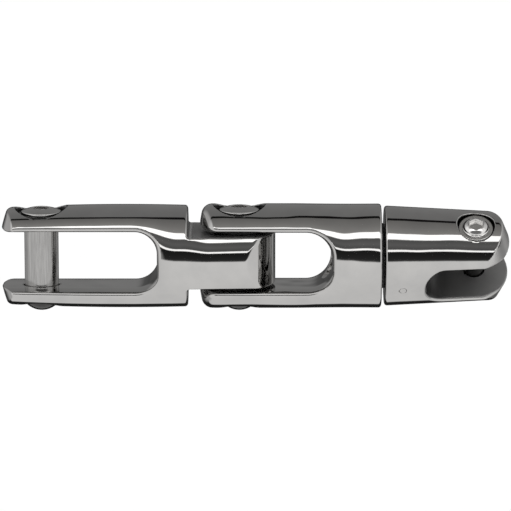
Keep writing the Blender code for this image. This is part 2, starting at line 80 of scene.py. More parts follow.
# Middle link
MIDDLE_STATIONS = (48.5, 53.5, 65.0, 76.8, 86.0, 93.4, 104.4)
MIDDLE_RADII = (15.8, 16.1, 16.1, 16.1, 16.0, 15.95, 16.0)
MIDDLE_LARGEST = 16.09
MIDDLE_TIP_X = 48.5
MIDDLE_TUCK = 11.0
MIDDLE_TUCK_FROM, MIDDLE_TUCK_TO = 80.0, 94.0
MIDDLE_SLOT_END = 89.2
MIDDLE_FACE = 104.4
STUD_RECESS_RADIUS = 7.0
STUD_RECESS_END = 94.4
BUSH_BORE_RADIUS = 6.25

# Both forks
FORK_SLOT_HALF = 8.8
TUCK_ANGLE = math.radians(58.0)
TIP_LIP_SQUARED = 77.0

# Chain jaw
JAW_FACE = 105.3
JAW_RADIUS = 15.4
JAW_TAPER = 0.052
JAW_SLOT_END = 117.9
JAW_SLOT_HALF = 6.1
STUD_BORE_RADIUS = 5.2
STUD_BORE_END = 116.0
LOCK_HOLE_RADIUS = 1.06


# ---------------------------------------------------------------- shapes
# A field is a pair: signed distance in mm (negative inside) and its gradient.
# Points are three arrays x, y, z in mm.

def unit(gx, gy, gz):
    return np.stack([gx, gy, gz])


def flat(value, direction, like):
    g = np.zeros((3,) + like.shape)
    g[0] += direction[0]
    g[1] += direction[1]
    g[2] += direction[2]
    return value, g


def negated(a):
    return -a[0], -a[1]


def larger(a, b):
    """Intersection with a sharp edge."""
    take = a[0] > b[0]
    return np.where(take, a[0], b[0]), np.where(take, a[1], b[1])


def rounded_and(a, b, radius):
    """Intersection whose edge is rounded with this radius, whatever the angle of the edge."""
    c = np.clip((a[1] * b[1]).sum(axis=0), -0.96, 0.96)
    u = a[0] + radius
    v = b[0] + radius
    edge = (u > v * c) & (v > u * c)
    s2 = 1.0 - c * c
    d = np.sqrt(np.maximum(u * u + v * v - 2.0 * u * v * c, 1e-12) / s2)
    value = np.where(edge, d, np.maximum(u, v)) - radius
    ga = (u - v * c) / (d * s2)
    gb = (v - u * c) / (d * s2)
    plain = np.where(u > v, a[1], b[1])
    return value, np.where(edge, ga * a[1] + gb * b[1], plain)


def rounded_or(a, b, radius):
    return negated(rounded_and(negated(a), negated(b), radius))


def bar(x, y, z, radius, slope):
    """A round bar along X. The radius may change along it, with this slope."""
    rho = np.hypot(y, z) + TINY
    return rho - radius, unit(-slope, y / rho, z / rho)


def post(x, y, z, centre_x, radius):
    """A round post along Z."""
    rho = np.hypot(x - centre_x, y) + TINY
    return rho - radius, unit((x - centre_x) / rho, y / rho, 0.0 * x)


def ball(x, y, z, centre_x, centre_z, radius):
    away = np.sqrt((x - centre_x) ** 2 + y ** 2 + (z - centre_z) ** 2) + TINY
    return away - radius, unit((x - centre_x) / away, y / away, (z - centre_z) / away)


def oval(x, y, z, depth, height):
    """A bar along X with an oval section."""
    k0 = np.sqrt((y / depth) ** 2 + (z / height) ** 2) + TINY
    gy = y / depth ** 2
    gz = z / height ** 2
    k1 = np.hypot(gy, gz) + TINY
    return k0 * (k0 - 1.0) / k1, unit(0.0 * x, gy / k1, gz / k1)


def tip_oval(x, y, z, centre_x, reach, depth, lip, lean, widen):
    """Wall round the jaw's tip: half an oval beyond the pin, drawn in further from the slot."""
    out = np.maximum(np.abs(z) - lip, 0.0)
    reach = reach - lean * out
    depth = depth - 1.1 * lean * out
    along = np.maximum(x - centre_x, 0.0)
    behind = np.minimum(x - centre_x, 0.0)
    depth = depth + widen * behind ** 2
    k0 = np.sqrt((along / reach) ** 2 + (y / depth) ** 2) + TINY
    gx = along / reach ** 2
    gy = y / depth ** 2
    rise = lean * (along ** 2 / reach ** 3 + 1.1 * y ** 2 / depth ** 3)
    rise = np.where(out > 0.0, rise, 0.0)
    k1 = np.sqrt(gx * gx + gy * gy + rise * rise) + TINY
    return k0 * (k0 - 1.0) / k1, unit(gx / k1, gy / k1, rise * np.sign(z) / k1)


def corner_box(p, q, dp, dq, corner):
    """Quarter-plane p < 0, q < 0 with a rounded corner. dp and dq are the gradients of p and q."""
    u = p + corner
    v = q + corner
    up = np.maximum(u, 0.0)
    vp = np.maximum(v, 0.0)
    h = np.hypot(up, vp)
    value = h + np.minimum(np.maximum(u, v), 0.0) - corner
    both = (u > 0.0) & (v > 0.0)
    safe = np.maximum(h, TINY)
    grad = np.where(both, up / safe * dp + vp / safe * dq, np.where(u > v, dp, dq))
    return value, grad


def slot(x, y, z, end_x, half, corner, toward, level, turn, lip):
    """A slot through Y. It is open at the left where toward is 1, and at the right where it is -1.

    Its long faces are level out to this depth, and its end to the lip. From there both open
    on a wide arc of radius turn.
    """
    out = np.maximum(np.abs(y) - level, 0.0)
    deep = np.maximum(np.abs(y) - lip, 0.0)
    p = (x - end_x) * toward - deep * deep / (2.0 * turn)
    q = np.abs(z) - half - out * out / (2.0 * turn)
    zero = 0.0 * x
    side = np.sign(y)
    dp = unit(zero + toward, -side * deep / turn, zero)
    dq = unit(zero, -side * out / turn, np.sign(z) + 0.0)
    dp = dp / np.sqrt((dp * dp).sum(axis=0))
    dq = dq / np.sqrt((dq * dq).sum(axis=0))
    return corner_box(p, q, dp, dq, corner)


def tucked_bar(x, y, z, radius, small, start, end):
    """A bar whose sides turn in on a smaller circle, easing to the plain bar from start to end."""
    plain, around = bar(x, y, z, radius, 0.0 * x)
    c, s = math.cos(TUCK_ANGLE), math.sin(TUCK_ANGLE)
    cy = (radius - small) * c
    cz = (radius - small) * s
    dy = np.abs(y) - cy
    dz = np.maximum(np.abs(z) - cz, 0.0)
    outer = dz * c > dy * s
    near = np.hypot(dy, dz) + TINY
    value = np.where(outer, plain, near - small)
    turned = unit(0.0 * x, dy / near * np.sign(y), dz / near * np.sign(z))
    grad = np.where(outer, around, turned)
    share = eased(x, start, end)
    return value + (plain - value) * share, grad + (around - grad) * share


def tip_face(x, y, z, tip, across, upright):
    """The end of a fork: an arc of one radius in plan that leans back above the slot's lip."""
    over = np.maximum(z * z - TIP_LIP_SQUARED, 0.0)
    rise = np.where(over > 0.0, z / upright, 0.0)
    value = tip + y * y / (2.0 * across) + over / (2.0 * upright) - x
    length = np.sqrt(1.0 + (y / across) ** 2 + rise ** 2)
    return value / length, unit(-1.0 / length, y / across / length, rise / length)


def above(x, y, z, height):
    """The half-space z > height, as a solid."""
    return flat(height - z, (0.0, 0.0, -1.0), z)


def below(x, y, z, height):
    """The half-space z < height, as a solid."""
    return flat(z - height, (0.0, 0.0, 1.0), z)


def beyond(x, y, z, station):
    """The half-space x > station, as a solid."""
    return flat(station - x, (-1.0, 0.0, 0.0), x)


def before(x, y, z, station):
    """The half-space x < station, as a solid."""
    return flat(x - station, (1.0, 0.0, 0.0), x)


def stepped_hole(field, x, y, z, centre_x, hole, lower, recess, floor, head, seat, rim):
    """Cuts a cross pin's hole: a washer recess above and a head recess below."""
    field = rounded_and(field, negated(post(x, y, z, centre_x, lower / 2.0)), rim)
    wall = larger(post(x, y, z, centre_x, hole / 2.0), above(x, y, z, 0.0))
    field = rounded_and(field, negated(wall), rim)
    top = larger(post(x, y, z, centre_x, recess / 2.0), above(x, y, z, floor))
    field = rounded_and(field, negated(top), rim)
    foot = larger(post(x, y, z, centre_x, head / 2.0), below(x, y, z, -seat))
    return rounded_and(field, negated(foot), rim)


def eased(value, start, end):
    """0 before start, 1 after end, and a smooth step between them."""
    share = np.clip((value - start) / (end - start), 0.0, 1.0)
    return share * share * (3.0 - 2.0 * share)


def through(value, stations, sizes):
    """A smooth curve through the stations, by cubic steps between them."""
    stations = np.asarray(stations, float)
    sizes = np.asarray(sizes, float)
    slope = np.gradient(sizes, stations)
    i = np.clip(np.searchsorted(stations, value) - 1, 0, len(stations) - 2)
    gap = stations[i + 1] - stations[i]
    t = np.clip((value - stations[i]) / gap, 0.0, 1.0)
    a = sizes[i] * (2 * t ** 3 - 3 * t ** 2 + 1) + slope[i] * gap * (t ** 3 - 2 * t ** 2 + t)
    b = sizes[i + 1] * (3 * t ** 2 - 2 * t ** 3) + slope[i + 1] * gap * (t ** 3 - t ** 2)
    return a + b


# ---------------------------------------------------------------- the three steel bodies

def anchor_link(x, y, z):
    zero = 0.0 * x
    radius = ANCHOR_RADIUS - (x - ANCHOR_WIDEST_X) ** 2 / ANCHOR_SWELL
    field = tucked_bar(x, y, z, radius, ANCHOR_TUCK, ANCHOR_TUCK_FROM, ANCHOR_TUCK_TO)

    # Towards the tang the round section becomes an oval one.
    height = radius + (TANG_OVAL - radius) * eased(x, 44.0, 52.0)
    flat_part = oval(x, y, z, radius, height)
    share = eased(x, 42.0, 44.0)
    value = field[0] + (flat_part[0] - field[0]) * share
    field = (value, field[1] + (flat_part[1] - field[1]) * share)

    corner = 1.3 + 0.9 * eased(np.abs(z), 12.5, 15.5)
    tip = tip_face(x, y, z, ANCHOR_TIP_X, across=17.0, upright=40.0)
    field = rounded_and(field, tip, corner)

    # The tang's two sides draw in towards its end.
    back = np.maximum(x - TANG_TAPER_FROM, 0.0)
    lean = 2.0 * TANG_TAPER * back
    tilt = np.sqrt(1.0 + lean ** 2)
    side = np.where(y < 0.0, -1.0, 1.0)
    wall = (np.abs(y) - TANG_SIDE + TANG_TAPER * back * back) / tilt
    field = rounded_and(field, (wall, unit(lean / tilt, side / tilt, zero)), 2.5)

    shoulder = corner_box(
        SHOULDER_X - x,
        TANG_HALF - np.abs(z),
        unit(zero - 1.0, zero, zero),
        unit(zero, zero, -np.sign(z)),
        corner=0.7,
    )
    field = rounded_and(field, negated(shoulder), 0.9)

    end = post(x, y, z, TANG_END_CENTRE, TANG_END_RADIUS)
    far = np.minimum(x - 62.0, 0.0)
    end = (end[0] - far * far * 0.4, end[1])
    field = rounded_and(field, end, 0.35)

    fork = slot(
        x, y, z, ANCHOR_SLOT_END, FORK_SLOT_HALF,
        corner=7.0, toward=1.0, level=6.0, turn=15.0, lip=10.5,
    )
    field = rounded_and(field, negated(fork), 0.45 + 0.55 * eased(x, -11.5, -6.0))
    bore = post(x, y, z, JOINT_PIN_X, TANG_BORE_RADIUS)
    field = rounded_and(field, negated(bore), 0.4)
    field = stepped_hole(
        field, x, y, z, ANCHOR_PIN_X,
        hole=11.1, lower=11.1, recess=15.9, floor=12.0, head=13.5, seat=12.0, rim=0.4,
    )
    return field[0]


def middle_link(x, y, z):
    radius = through(x, MIDDLE_STATIONS, MIDDLE_RADII)
    radius = np.minimum(radius, MIDDLE_LARGEST)
    field = tucked_bar(x, y, z, radius, MIDDLE_TUCK, MIDDLE_TUCK_FROM, MIDDLE_TUCK_TO)
    field = rounded_and(field, before(x, y, z, MIDDLE_FACE), 0.9)
    tip = tip_face(x, y, z, MIDDLE_TIP_X, across=21.0, upright=70.0)
    field = rounded_and(field, tip, 3.0)
    fork = slot(
        x, y, z, MIDDLE_SLOT_END, FORK_SLOT_HALF,
        corner=8.0, toward=1.0, level=7.0, turn=15.0, lip=11.5,
    )
    field = rounded_and(field, negated(fork), 1.8 - 0.8 * eased(x, 50.0, 55.0))
    field = stepped_hole(
        field, x, y, z, JOINT_PIN_X,
        hole=11.1, lower=11.1, recess=15.9, floor=12.5, head=13.5, seat=12.0, rim=0.4,
    )
    rho = np.hypot(y, z) + TINY
    around = unit(0.0 * x, y / rho, z / rho)
    recess = larger((rho - STUD_RECESS_RADIUS, around), before(x, y, z, STUD_RECESS_END))
    field = rounded_and(field, negated(recess), 0.35)
    bore = (rho - BUSH_BORE_RADIUS, around)
    field = rounded_and(field, negated(bore), 0.3)
    return field[0]


def chain_jaw(x, y, z):
    zero = 0.0 * x
    radius = JAW_RADIUS - JAW_TAPER * (x - JAW_FACE)
    field = bar(x, y, z, radius, zero - JAW_TAPER)
    field = rounded_and(field, beyond(x, y, z, JAW_FACE), 0.9)
    corner = 0.6 + 2.4 * eased(y, -4.0, 8.0) * eased(x, 120.0, 132.0)
    tip = tip_oval(
        x, y, z, CHAIN_PIN_X, reach=10.6, depth=12.6, lip=JAW_SLOT_HALF, lean=0.33, widen=0.02
    )
    field = rounded_and(field, tip, corner)
    gap = slot(
        x, y, z, JAW_SLOT_END, JAW_SLOT_HALF,
        corner=5.9, toward=-1.0, level=11.0, turn=15.0, lip=12.0,
    )
    field = rounded_and(field, negated(gap), 0.8 - 0.45 * eased(x, 138.0, 142.0))
    field = stepped_hole(
        field, x, y, z, CHAIN_PIN_X,
        hole=8.1, lower=6.5, recess=11.5, floor=11.0, head=10.3, seat=10.5, rim=0.3,
    )
    rho = np.hypot(y, z) + TINY
    around = unit(zero, y / rho, z / rho)
    bore = larger((rho - STUD_BORE_RADIUS, around), before(x, y, z, STUD_BORE_END))
    field = rounded_and(field, negated(bore), 0.3)
    drill = np.hypot(x - LOCK_PIN_X, z) + TINY
    around = unit((x - LOCK_PIN_X) / drill, zero, z / drill)
    lock = larger((drill - LOCK_HOLE_RADIUS, around), flat(y - 8.2, (0.0, 1.0, 0.0), y))
    field = rounded_and(field, negated(lock), 0.05)
    return field[0]


# ---------------------------------------------------------------- pins, washers and screws

def dome_pin(centre_x, shank, top, head, head_radius, seat, end, bore, bore_end, neck, neck_top):
    """A pin along Z with a domed head below and a hole from the top. It may narrow to a neck."""
    def shape(x, y, z):
        body = post(x, y, z, centre_x, shank / 2.0)
        body = rounded_and(body, below(x, y, z, top), 0.4)
        if neck < shank:
            body = rounded_and(body, above(x, y, z, neck_top), 0.4)
            thin = larger(post(x, y, z, centre_x, neck / 2.0), below(x, y, z, top - 1.0))
            body = rounded_or(body, thin, 0.3)
        dome_z = -end + head_radius
        body = larger(body, above(x, y, z, dome_z))
        knob = ball(x, y, z, centre_x, dome_z, head_radius)
        knob = rounded_and(knob, post(x, y, z, centre_x, head / 2.0), 0.35)
        knob = rounded_and(knob, below(x, y, z, -seat), 0.2)
        whole = np.minimum(body[0], knob[0])
        hole = np.maximum(np.hypot(x - centre_x, y) - bore / 2.0, bore_end - z)
        return np.maximum(whole, -hole)
    return shape


def washer(centre_x, hole, outer, low, high):
    def shape(x, y, z):
        disc = post(x, y, z, centre_x, outer / 2.0)
        disc = rounded_and(disc, below(x, y, z, high), 0.25)
        disc = rounded_and(disc, above(x, y, z, low), 0.15)
        return rounded_and(disc, negated(post(x, y, z, centre_x, hole / 2.0)), 0.15)[0]
    return shape


def hexagon(x, y, z, centre_x, across, turn):
    """A six-sided post along Z, this far across its flats."""
    best = None
    for i in range(3):
        angle = turn + math.pi / 3.0 * i
        nx, ny = math.cos(angle), math.sin(angle)
        along = (x - centre_x) * nx + y * ny
        zero = 0.0 * x
        side = np.sign(along)
        face = (np.abs(along) - across / 2.0, unit(zero + nx * side, zero + ny * side, zero))
        best = face if best is None else larger(best, face)
    return best


def button_screw(centre_x, head, low, height, shank, across, socket, turn, foot, end):
    """A button-head screw with a hex socket. Where foot isn't 0 its head has a thin flange."""
    rise = 0.68 * height
    dome = (head * head / 4.0 + rise * rise) / (2.0 * rise)

    def shape(x, y, z):
        body = ball(x, y, z, centre_x, low + height - dome, dome)
        body = rounded_and(body, post(x, y, z, centre_x, head / 2.0), 0.45)
        body = rounded_and(body, above(x, y, z, low), 0.05)
        if foot > 0.0:
            flange = post(x, y, z, centre_x, head / 2.0 + foot)
            flange = rounded_and(flange, below(x, y, z, low + 0.14), 0.06)
            flange = larger(flange, above(x, y, z, low))
            body = rounded_or(body, flange, 0.55)
            body = larger(body, above(x, y, z, low))
        key = hexagon(x, y, z, centre_x, across, turn)
        key = larger(key, above(x, y, z, low + height - socket))
        body = rounded_and(body, negated(key), 0.22)
        stem = larger(post(x, y, z, centre_x, shank / 2.0), above(x, y, z, end))
        stem = larger(stem, below(x, y, z, low + 0.3))
        return np.minimum(body[0], stem[0])
    return shape


def stud(x, y, z):
    """The headed stud along X, with a cross hole for the lock pin."""
    head_from, head_to, shank_end = 89.6, 93.12, 115.6
    head_radius, shank_radius, cross_hole_radius = 6.7, 4.95, 1.2
    rho = np.hypot(y, z) + TINY
    around = unit(0.0 * x, y / rho, z / rho)
    head = rounded_and((rho - head_radius, around), beyond(x, y, z, head_from), 0.8)
    head = rounded_and(head, before(x, y, z, head_to), 0.2)
    stem = rounded_and((rho - shank_radius, around), before(x, y, z, shank_end), 0.5)
    stem = larger(stem, beyond(x, y, z, 91.0))
    drill = np.hypot(x - LOCK_PIN_X, z) - cross_hole_radius
    return np.maximum(np.minimum(head[0], stem[0]), -drill)


def lock_pin(x, y, z):
    radius, outer_end, inner_end = 1.045, -15.0, 8.0
    rho = np.hypot(x - LOCK_PIN_X, z) + TINY
    body = (rho - radius, unit((x - LOCK_PIN_X) / rho, 0.0 * x, z / rho))
    body = rounded_and(body, flat(outer_end - y, (0.0, -1.0, 0.0), y), 0.1)
    return rounded_and(body, flat(y - inner_end, (0.0, 1.0, 0.0), y), 0.25)[0]


# ---------------------------------------------------------------- meshing

EDGES = [(a, b) for a in range(8) for b in range(a + 1, 8) if bin(a ^ b).count("1") == 1]
SLAB = 24
SLOPE_STEP = 0.002
LEAST_SLOPE = 1e-6


def slope_of(shape, p):
    g = np.empty_like(p)
    for axis in range(3):
        plus = p.copy()
        minus = p.copy()
        plus[axis] += SLOPE_STEP
        minus[axis] -= SLOPE_STEP
        g[axis] = (shape(*plus) - shape(*minus)) / (2.0 * SLOPE_STEP)
    return g


def normal_of(shape, p):
    g = slope_of(shape, p)
    g /= np.maximum(np.sqrt((g * g).sum(axis=0)), LEAST_SLOPE)
    return g


def onto_surface(shape, p, rounds):
    for _ in range(rounds):
        g = slope_of(shape, p)
        p = p - shape(*p) * g / np.maximum((g * g).sum(axis=0), 0.05)
    return p


def sampled(shape, axes):
    values = np.empty([len(a) for a in axes])
    for i in range(0, len(axes[0]), SLAB):
        block = np.meshgrid(axes[0][i:i + SLAB], axes[1], axes[2], indexing="ij")
        values[i:i + SLAB] = shape(*block)
    return values


def crossing_points(values, cells):
    """For each cell, the mean of the points where the surface crosses its edges, as a share of it."""
    corners = []
    for c in range(8):
        shift = np.array([c & 1, c >> 1 & 1, c >> 2 & 1])
        at = cells + shift
        corners.append((shift, values[at[:, 0], at[:, 1], at[:, 2]]))
    total = np.zeros((len(cells), 3))
    hits = np.zeros(len(cells))
    for a, b in EDGES:
        sa, va = corners[a]
        sb, vb = corners[b]
        cross = (va < 0.0) != (vb < 0.0)
        t = np.where(cross, va / np.where(cross, va - vb, 1.0), 0.0)
        total += np.where(cross[:, None], sa + t[:, None] * (sb - sa), 0.0)
        hits += cross
    return total / hits[:, None]


def cell_faces(inside, number):
    """One four-sided face round each grid edge that the surface crosses, wound to face outwards."""
    faces = []
    for axis in range(3):
        one, two = (axis + 1) % 3, (axis + 2) % 3
        lo = [slice(1, -1)] * 3
        hi = [slice(1, -1)] * 3
        lo[axis] = slice(0, -1)
        hi[axis] = slice(1, None)
        near, far = inside[tuple(lo)], inside[tuple(hi)]
        at = np.argwhere(near != far)
        out = near[at[:, 0], at[:, 1], at[:, 2]]
        offset = np.ones(3, np.int64)
        offset[axis] = 0
        at = at + offset
        ring = []
        for d1, d2 in ((-1, -1), (0, -1), (0, 0), (-1, 0)):
            cell = at.copy()
            cell[:, one] += d1
            cell[:, two] += d2
            ring.append(number[cell[:, 0], cell[:, 1], cell[:, 2]])
        ring = np.stack(ring, axis=1)
        faces.append(np.where(out[:, None], ring, ring[:, ::-1]))
    return np.concatenate(faces)


def skin(shape, low, high, step):
    """Points, outward normals and four-sided faces of the surface where the shape is zero."""
    axes = [np.arange(a - 1.5 * step, b + 2.6 * step, step) for a, b in zip(low, high)]
    values = sampled(shape, axes)
    inside = values < 0.0
    n = [len(a) - 1 for a in axes]
    count = np.zeros(n, np.int8)
    for c in range(8):
        i, j, k = c & 1, c >> 1 & 1, c >> 2 & 1
        count += inside[i:n[0] + i, j:n[1] + j, k:n[2] + k]
    cells = np.argwhere((count > 0) & (count < 8))
    start = np.array([a[0] for a in axes])
    points = (start + (cells + crossing_points(values, cells)) * step).T
    number = np.full(n, -1, np.int64)
    number[cells[:, 0], cells[:, 1], cells[:, 2]] = np.arange(len(cells))
    faces = cell_faces(inside, number)

    # The points are put on the surface, then spread evenly along it.
    points = onto_surface(shape, points, 3)
    ends = np.concatenate([faces[:, [i, (i + 1) % 4]] for i in range(4)])
    size = points.shape[1]
    degree = np.bincount(ends[:, 0], minlength=size)
    for _ in range(3):
        mean = np.stack([np.bincount(ends[:, 0], p[ends[:, 1]], size) for p in points])
        mean /= degree
        g = normal_of(shape, points)
        pull = mean - points
        pull -= (pull * g).sum(axis=0) * g
        points = onto_surface(shape, points + 0.5 * pull, 2)
    return points, normal_of(shape, points), faces


def rolled(p):
    c, s = math.cos(JAW_ROLL), math.sin(JAW_ROLL)
    return np.stack([p[0], c * p[1] - s * p[2], s * p[1] + c * p[2]])


def piece(name, shape, low, high, step, body, node, look):
    """Meshes a shape found between the corners low and high, in place of a CAD node."""
    points, normals, faces = skin(shape, low, high, step)
    if body == "jaw":
        points = rolled(points)
        normals = rolled(normals)
    mesh = bpy.data.meshes.new(name)
    mesh.vertices.add(points.shape[1])
    mesh.vertices.foreach_set("co", (points.T * MM).astype(np.float32).ravel())
    mesh.loops.add(faces.size)
    mesh.loops.foreach_set("vertex_index", faces.astype(np.int32).ravel())
    mesh.polygons.add(len(faces))
    mesh.polygons.foreach_set("loop_start", np.arange(0, faces.size, 4, dtype=np.int32))
    mesh.polygons.foreach_set("use_smooth", np.ones(len(faces), bool))
    mesh.update(calc_edges=True)
    mesh.validate()
    mesh.normals_split_custom_set_from_vertices(normals.T.astype(np.float32))
    mesh.materials.append(look)
    obj = bpy.data.objects.new(name, mesh)
    bpy.context.scene.collection.objects.link(obj)
    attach(obj, body)
    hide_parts(node)


# ---------------------------------------------------------------- materials
# Materials see a piece's own coordinates, which are the CAD model's in metres.

EVEN = (1.0, 1.0, 1.0)
FINE = (300.0, 300.0, 300.0)
ALONG_PIN = (700.0, 700.0, 40.0)
ALONG_BAR = (400.0, 60.0, 60.0)


class Nodes:
    """Short calls for building one node tree."""

    def __init__(self, tree):
        self.tree = tree

    def new(self, kind, **settings):
        made = self.tree.nodes.new(kind)
        for key, value in settings.items():
            setattr(made, key, value)
        return made

    def link(self, out, into):
        self.tree.links.new(out, into)

    def coords(self, scale):
        where = self.new("ShaderNodeTexCoord")
        sized = self.new("ShaderNodeMapping")
        sized.inputs["Scale"].default_value = scale
        self.link(where.outputs["Object"], sized.inputs["Vector"])
        return sized.outputs["Vector"]

    def split(self, coordinate="Object"):
        where = self.new("ShaderNodeTexCoord")
        parts = self.new("ShaderNodeSeparateXYZ")
        self.link(where.outputs[coordinate], parts.inputs[0])
        return parts.outputs["X"], parts.outputs["Y"], parts.outputs["Z"]

    def noise(self, scale, size, detail, rough):
        made = self.new("ShaderNodeTexNoise")
        made.inputs["Scale"].default_value = size
        made.inputs["Detail"].default_value = detail
        made.inputs["Roughness"].default_value = rough
        self.link(self.coords(scale), made.inputs["Vector"])
        return made.outputs["Fac"]

    def ramp(self, fac, stops):
        made = self.new("ShaderNodeValToRGB")
        items = made.color_ramp.elements
        while len(items) > 1:
            items.remove(items[-1])
        items[0].position = stops[0][0]
        items[0].color = (*stops[0][1], 1.0)
        for at, colour in stops[1:]:
            items.new(at).color = (*colour, 1.0)
        self.link(fac, made.inputs["Fac"])
        return made.outputs["Color"]

    def span(self, fac, low, high, to_low, to_high):
        """Goes from to_low to to_high as fac goes from low to high, and stays level outside."""
        made = self.new("ShaderNodeMapRange")
        made.inputs["From Min"].default_value = low
        made.inputs["From Max"].default_value = high
        made.inputs["To Min"].default_value = to_low
        made.inputs["To Max"].default_value = to_high
        self.link(fac, made.inputs["Value"])
        return made.outputs["Result"]

    def math(self, operation, first, second=None):
        made = self.new("ShaderNodeMath", operation=operation)
        for socket, value in zip(made.inputs, (first, second)):
            if value is None:
                continue
            if isinstance(value, (int, float)):
                socket.default_value = value
            else:
                self.link(value, socket)
        return made.outputs[0]

    def product(self, first, *others):
        for other in others:
            first = self.math("MULTIPLY", first, other)
        return first

    def length(self, first, second):
        squares = [self.math("POWER", value, 2.0) for value in (first, second)]
        return self.math("SQRT", self.math("ADD", *squares))

    def scaled(self, colour, factor):
        made = self.new("ShaderNodeVectorMath", operation="SCALE")
        self.link(colour, made.inputs[0])
        self.link(factor, made.inputs["Scale"])
        return made.outputs[0]

    def bump(self, height, distance, strength, before=None):
        made = self.new("ShaderNodeBump")
        made.inputs["Strength"].default_value = strength
        made.inputs["Distance"].default_value = distance
        self.link(height, made.inputs["Height"])
        if before is not None:
            self.link(before, made.inputs["Normal"])
        return made.outputs["Normal"]


def shader_of(name, metallic):
    made = bpy.data.materials.new(name)
    made.use_nodes = True
    shader = made.node_tree.nodes["Principled BSDF"]
    shader.inputs["Metallic"].default_value = metallic
    return made, shader, Nodes(made.node_tree)


def grey(level, warm):
    return (level * (1.0 + warm), level, level * (1.0 - warm * 1.4))


def mirror_steel(name, wave, recess, inside=None, tones=(0.24, 0.24), satin=None):
    """Polished steel whose washer recess wall has painted shade.

    Where inside gives 1 it is a duller, less metallic face with painted shade. Its colour is
    multiplied by the first of the tones at the closed end of the jaw's slot, and by the second at
    the jaw's tip. Where satin gives 1 it is polished less.
    """
    made, shader, nodes = shader_of(name, 1.0)
    cloud = nodes.noise(EVEN, size=90.0, detail=4.0, rough=0.6)
    colour = nodes.ramp(cloud, ((0.35, grey(0.50, 0.008)), (0.7, grey(0.56, 0.012))))
    haze = nodes.noise(EVEN, size=260.0, detail=6.0, rough=0.65)
    rough = nodes.span(haze, 0.35, 0.75, 0.03, 0.06)
    # Painted shade: where inside gives 1 the colour is darkened and made less metallic.
    if inside is not None:
        share = inside(nodes)
        x = nodes.split()[0]
        slot_shade_tone = nodes.span(x, 0.1180, 0.1420, *tones)
        painted_shade_loss = nodes.product(share, nodes.math("SUBTRACT", slot_shade_tone, 1.0))
        colour = nodes.scaled(colour, nodes.math("ADD", painted_shade_loss, 1.0))
        rough = nodes.math("ADD", rough, nodes.product(share, 0.25))
        nodes.link(nodes.span(share, 0.0, 1.0, 1.0, 0.35), shader.inputs["Metallic"])
    if satin is not None:
        rough = nodes.math("ADD", rough, nodes.product(satin(nodes), 0.30))
    # Painted shade: the washer recess wall's colour is scaled down to a tenth.
    painted_recess_shade = recess_wall_shade_mask(nodes, **recess)
    shaded = nodes.scaled(colour, nodes.span(painted_recess_shade, 0.0, 1.0, 1.0, 0.10))
    nodes.link(shaded, shader.inputs["Base Color"])
    nodes.link(rough, shader.inputs["Roughness"])
    swell = nodes.noise(EVEN, size=75.0, detail=1.0, rough=0.4)
    first = nodes.bump(swell, 0.0006, wave)
    marks = nodes.noise(ALONG_BAR, size=6.0, detail=3.0, rough=0.7)
    second = nodes.bump(marks, 0.00002, 0.25, first)
    nodes.link(second, shader.inputs["Normal"])
    return made


def turned_steel(name, light, dark, smooth, worn, along=FINE, foot=1.0):
    """Steel with fine streaks. Its colour is multiplied by foot below the links, a painted shade."""
    made, shader, nodes = shader_of(name, 1.0)
    streaks = nodes.noise(along, size=3.0, detail=3.0, rough=0.6)
    colour = nodes.ramp(streaks, ((0.3, grey(dark, 0.01)), (0.7, grey(light, 0.01))))
    z = nodes.split()[2]
    # Painted shade: below z = -12 mm the colour is scaled by foot.
    painted_foot_shade = nodes.span(z, -0.0130, -0.0120, foot, 1.0)
    nodes.link(nodes.scaled(colour, painted_foot_shade), shader.inputs["Base Color"])
    cloud = nodes.noise(EVEN, size=350.0, detail=3.0, rough=0.5)
    nodes.link(nodes.span(cloud, 0.3, 0.7, smooth, worn), shader.inputs["Roughness"])
    nodes.link(nodes.bump(streaks, 0.00001, 0.35), shader.inputs["Normal"])
    return made


def clouded(name, metallic, size, dark, light, smooth, worn):
    """A plain material whose colour and roughness vary together."""
    made, shader, nodes = shader_of(name, metallic)
    cloud = nodes.noise(EVEN, size=size, detail=5.0, rough=0.6)
    nodes.link(nodes.ramp(cloud, ((0.3, dark), (0.7, light))), shader.inputs["Base Color"])
    nodes.link(nodes.span(cloud, 0.3, 0.7, smooth, worn), shader.inputs["Roughness"])
    nodes.link(nodes.bump(cloud, 0.00003, 0.4), shader.inputs["Normal"])
    return made


def turned_back(nodes, y, z, roll):
    """The depth and height of a point in its own piece, with its roll taken off."""
    c, s = math.cos(roll), math.sin(roll)
    depth = nodes.math("ADD", nodes.product(y, c), nodes.product(z, s))
    height = nodes.math("ADD", nodes.product(y, -s), nodes.product(z, c))
    return depth, height


def recess_wall_shade_mask(nodes, centre, radius, floor, roll):
    """1 on the wall of the washer's recess, and 0 elsewhere. Shade is painted there."""
    x, y, z = nodes.split()
    depth, height = turned_back(nodes, y, z, roll)
    rho = nodes.length(nodes.math("SUBTRACT", x, centre), depth)
    near = nodes.span(rho, radius + 0.00002, radius + 0.0001, 1.0, 0.0)
    return nodes.product(near, nodes.span(height, floor - 0.0004, floor - 0.0001, 0.0, 1.0))


def under_jaw_skin(nodes, x, y, z):
    """0 on the jaw's tapered outside, and 1 on any face within it."""
    taper = nodes.product(nodes.math("SUBTRACT", x, 0.1053), JAW_TAPER)
    reach = nodes.math("ADD", nodes.length(y, z), taper)
    return nodes.span(reach, 0.0147, 0.0151, 1.0, 0.0)


def jaw_slot_shade_mask(nodes):
    """1 on the faces of the jaw's slot, and 0 elsewhere. Shade is painted there."""
    x, y, z = nodes.split()
    height = turned_back(nodes, y, z, JAW_ROLL)[1]
    within = nodes.span(nodes.math("ABSOLUTE", height), 0.0061, 0.0065, 1.0, 0.0)
    after = nodes.span(x, 0.1176, 0.1182, 0.0, 1.0)
    return nodes.product(within, after, under_jaw_skin(nodes, x, y, z))


